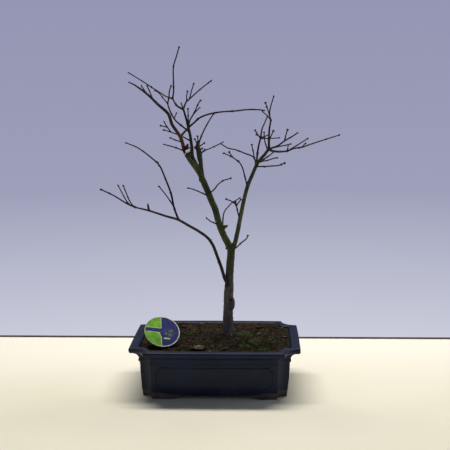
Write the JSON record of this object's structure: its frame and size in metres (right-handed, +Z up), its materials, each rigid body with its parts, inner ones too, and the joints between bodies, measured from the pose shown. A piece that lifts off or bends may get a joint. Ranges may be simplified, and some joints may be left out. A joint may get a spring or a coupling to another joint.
{
  "type": "bonsai tree in a pot",
  "caption": "Leafless maple bonsai with a forked trunk in a rectangular glazed pot with scooped corners, soil, moss and a round blank label.",
  "frame": {"origin": "middle of the whole object's footprint, on the surface that the pot's feet stand on", "axes": "+Z up along the trunk; +X along the pot, towards the side away from the label; +Y across the pot, towards the back"},
  "size_m": [0.3508, 0.1796, 0.5133],
  "materials": {
    "glazed_pot": "glazed stoneware, dark navy, brown where the glaze thins, bare reddish clay feet",
    "soil": "moist crumbly potting soil",
    "bark": "thin bark, grey-brown at the foot, green on the limbs, purple-brown on the twigs",
    "label_plastic": "pale moulded plastic",
    "label_print": "printed sheet, lime green and navy areas, blank",
    "mesh_plastic": "black plastic mesh",
    "wire": "copper-coloured anodised wire",
    "moss": "short green moss",
    "stone": "small pale grit",
    "bark_chip": "rough bark chips",
    "dry_leaf": "curled dry leaf",
    "pale_leaf": "pale green leaf scrap"
  },
  "bodies": {
    "root": {"pot": "glazed_pot", "soil": "soil", "tree": "bark", "label_tag": "label_plastic", "label_face": "label_print", "drainage_mesh_left": "mesh_plastic", "drainage_mesh_right": "mesh_plastic", "mesh_wire_left": "wire", "mesh_wire_right": "wire", "moss_pad_1": "moss", "moss_pad_2": "moss", "moss_pad_3": "moss", "moss_pad_4": "moss", "moss_pad_5": "moss", "moss_pad_6": "moss", "moss_pad_7": "moss", "moss_pad_8": "moss", "pebble_1": "stone", "pebble_2": "stone", "pebble_3": "stone", "pebble_4": "stone", "pebble_5": "stone", "pebble_6": "stone", "pebble_7": "stone", "pebble_8": "stone", "bark_chip_1": "bark_chip", "bark_chip_2": "bark_chip", "bark_chip_3": "bark_chip", "bark_chip_4": "bark_chip", "bark_chip_5": "bark_chip", "bark_chip_6": "bark_chip", "dry_leaf": "dry_leaf", "pale_leaf_scrap": "pale_leaf"}
  },
  "joints": []
}
